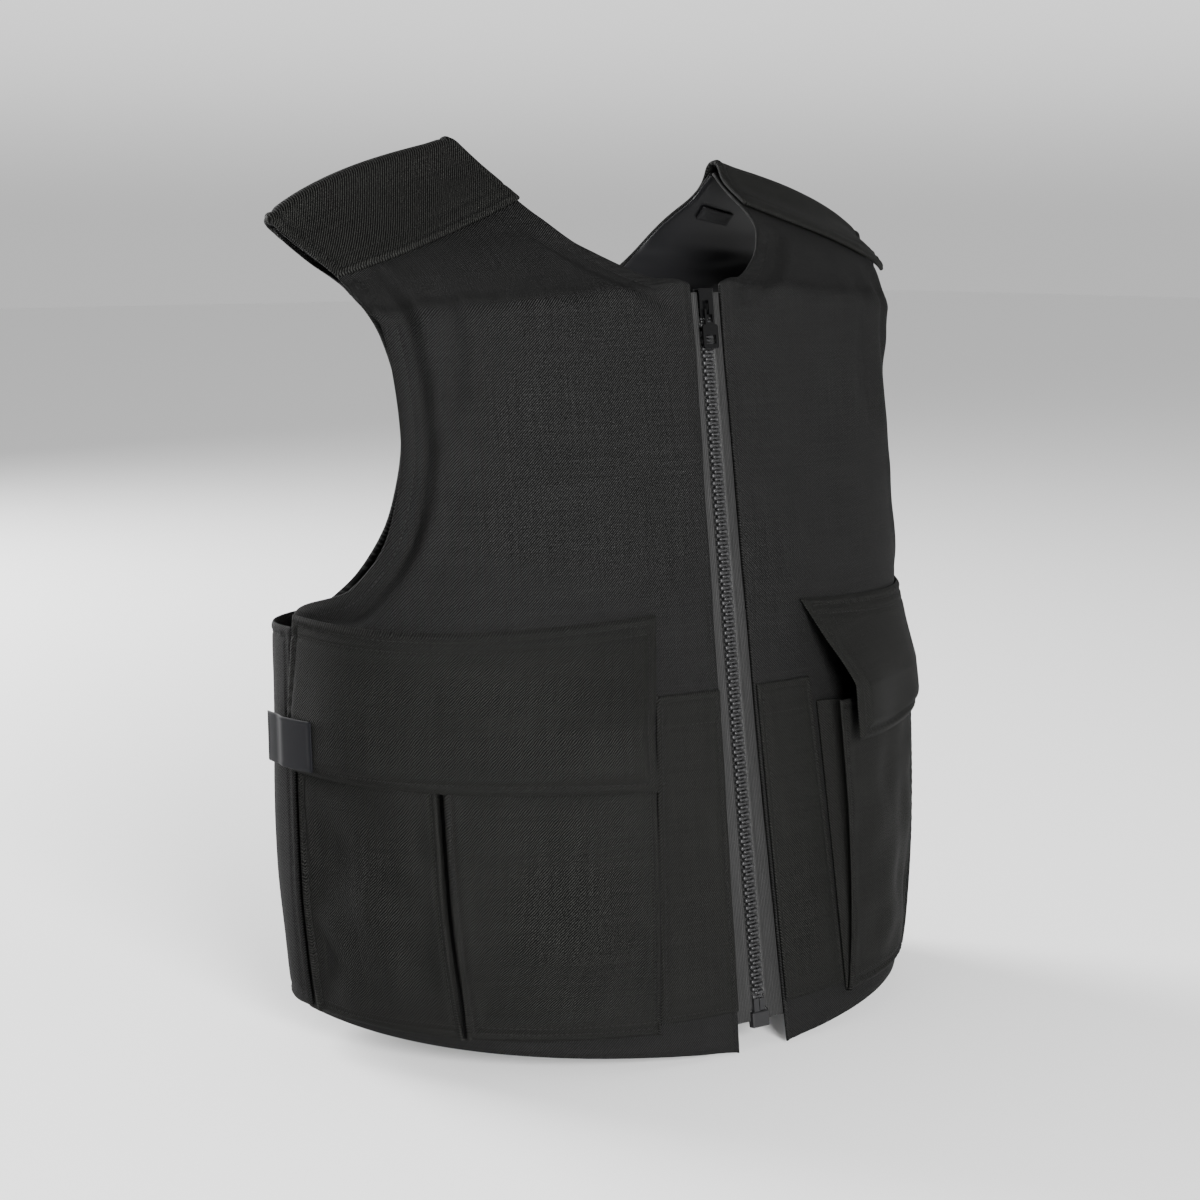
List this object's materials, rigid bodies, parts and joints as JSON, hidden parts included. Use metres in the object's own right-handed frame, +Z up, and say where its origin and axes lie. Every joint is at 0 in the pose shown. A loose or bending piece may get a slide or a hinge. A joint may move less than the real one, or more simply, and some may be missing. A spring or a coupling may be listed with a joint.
{
  "type": "stab vest",
  "caption": "Zipped black stab vest with padded front and back panels, flat shoulder straps, cloth sides, flapped bellows pockets and slip pockets, standing hollow in its worn shape.",
  "frame": {"origin": "between the shoulders, at the height where the vest rests on the wearer's shoulders, in the plane of the shoulder ridge", "axes": "+X to the wearer's left, -Y out of the front with the zip, +Z up"},
  "size_m": [0.4716, 0.2695, 0.5555],
  "materials": {
    "cloth": "matt near-black twill",
    "lining": "smooth black satin",
    "tape": "woven grey zip tape",
    "chain": "moulded black plastic, slightly shiny",
    "label": "dense black woven label",
    "slider": "black enamelled metal"
  },
  "bodies": {
    "vest": {"front_panel_right": "cloth", "front_panel_left": "cloth", "back_panel": "cloth", "back_lining": "lining", "shoulder_strap_right": "cloth", "shoulder_strap_left": "cloth", "side_panel_right": "cloth", "side_panel_left": "cloth", "pocket_front_right": "cloth", "pocket_front_left": "cloth", "pocket_side_right": "cloth", "pocket_side_left": "cloth", "pocket_flap_right": "cloth", "pocket_flap_left": "cloth", "side_label": "label", "slip_pocket_right": "cloth", "slip_pocket_left": "cloth", "neck_label": "label", "zip_tape_right": "tape", "zip_tape_left": "tape", "zip_teeth_right": "chain", "zip_teeth_left": "chain", "zip_slider": "slider", "zip_box": "chain", "zip_pin": "chain"},
    "puller": {"zip_puller": "slider"}
  },
  "joints": [
    {"name": "puller_hinge", "type": "hinge", "parent": "vest", "child": "puller", "pos_m": [0, -0.1233, -0.07907], "axis": [-1, 0, 0], "range_deg": [0, 165]}
  ]
}
